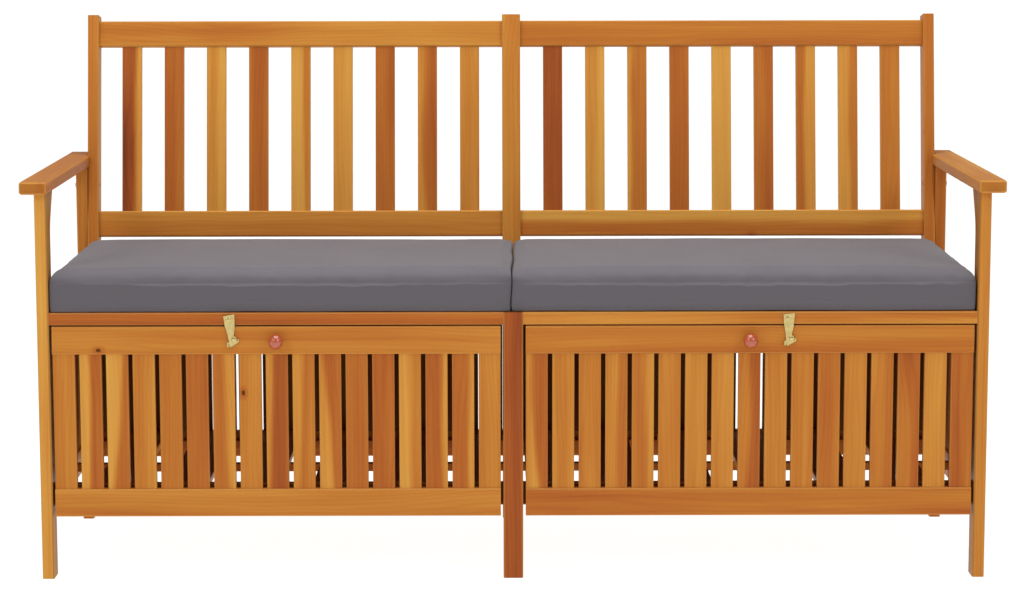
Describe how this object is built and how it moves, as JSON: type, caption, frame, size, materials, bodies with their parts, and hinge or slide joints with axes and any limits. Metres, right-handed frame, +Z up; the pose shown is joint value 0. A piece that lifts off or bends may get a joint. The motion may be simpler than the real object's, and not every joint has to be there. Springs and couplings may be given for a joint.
{
  "type": "slatted storage bench",
  "caption": "Slatted hardwood garden bench with armrests and seat cushions over storage lockers with drop-front doors held by hook latches.",
  "frame": {"origin": "on the floor, under the middle of the bench's bounding box", "axes": "+X to the right seen from the front, -Y towards the front where the doors open, +Z up"},
  "size_m": [1.48, 0.57, 0.84],
  "materials": {
    "oiled_acacia": "oiled hardwood, satin",
    "cushion_fabric": "plain woven polyester, matt",
    "lacquered_knob": "red-brown gloss lacquer",
    "brass": "pale plated, satin",
    "zinc_steel": "zinc plated"
  },
  "bodies": {
    "frame": {"catch_pegs": "brass", "floor_bearers": "oiled_acacia", "frame_hinge_leaves": "zinc_steel", "hinge_pins": "zinc_steel", "left_armrest": "oiled_acacia", "left_back_bottom_rail": "oiled_acacia", "left_back_post": "oiled_acacia", "left_back_slats": "oiled_acacia", "left_back_top_rail": "oiled_acacia", "left_cushion": "cushion_fabric", "left_floor_slats": "oiled_acacia", "left_front_leg": "oiled_acacia", "left_front_lower_rail": "oiled_acacia", "left_rear_bottom_rail": "oiled_acacia", "left_rear_leg": "oiled_acacia", "left_rear_slats": "oiled_acacia", "left_rear_top_rail": "oiled_acacia", "left_seat_front_rail": "oiled_acacia", "left_side_lower_rail": "oiled_acacia", "left_side_seat_rail": "oiled_acacia", "left_side_slats": "oiled_acacia", "leg_bolts": "zinc_steel", "middle_back_post": "oiled_acacia", "middle_front_leg": "oiled_acacia", "middle_lower_bearer": "oiled_acacia", "middle_rear_leg": "oiled_acacia", "middle_seat_bearer": "oiled_acacia", "right_armrest": "oiled_acacia", "right_back_bottom_rail": "oiled_acacia", "right_back_post": "oiled_acacia", "right_back_slats": "oiled_acacia", "right_back_top_rail": "oiled_acacia", "right_cushion": "cushion_fabric", "right_floor_slats": "oiled_acacia", "right_front_leg": "oiled_acacia", "right_front_lower_rail": "oiled_acacia", "right_rear_bottom_rail": "oiled_acacia", "right_rear_leg": "oiled_acacia", "right_rear_slats": "oiled_acacia", "right_rear_top_rail": "oiled_acacia", "right_seat_front_rail": "oiled_acacia", "right_side_lower_rail": "oiled_acacia", "right_side_seat_rail": "oiled_acacia", "right_side_slats": "oiled_acacia", "seat_slats": "oiled_acacia"},
    "left_door": {"left_door_bottom_rail": "oiled_acacia", "left_door_hinge_leaves": "zinc_steel", "left_door_knob": "lacquered_knob", "left_door_slats": "oiled_acacia", "left_door_top_rail": "oiled_acacia", "left_latch_screw": "brass"},
    "right_door": {"right_door_bottom_rail": "oiled_acacia", "right_door_hinge_leaves": "zinc_steel", "right_door_knob": "lacquered_knob", "right_door_slats": "oiled_acacia", "right_door_top_rail": "oiled_acacia", "right_latch_screw": "brass"},
    "left_latch": {"left_latch_hook": "brass"},
    "right_latch": {"right_latch_hook": "brass"}
  },
  "joints": [
    {"name": "left_door_hinge", "type": "hinge", "parent": "frame", "child": "left_door", "pos_m": [-0.3585, -0.2395, 0.108], "axis": [1, 0, 0], "range_deg": [0, 100]},
    {"name": "right_door_hinge", "type": "hinge", "parent": "frame", "child": "right_door", "pos_m": [0.3585, -0.2395, 0.108], "axis": [1, 0, 0], "range_deg": [0, 100]},
    {"name": "left_latch_pivot", "type": "hinge", "parent": "left_door", "child": "left_latch", "pos_m": [-0.4215, -0.2605, 0.37], "axis": [0, 1, 0], "range_deg": [0, 180]},
    {"name": "right_latch_pivot", "type": "hinge", "parent": "right_door", "child": "right_latch", "pos_m": [0.4215, -0.2605, 0.37], "axis": [0, 1, 0], "range_deg": [0, 180]}
  ]
}
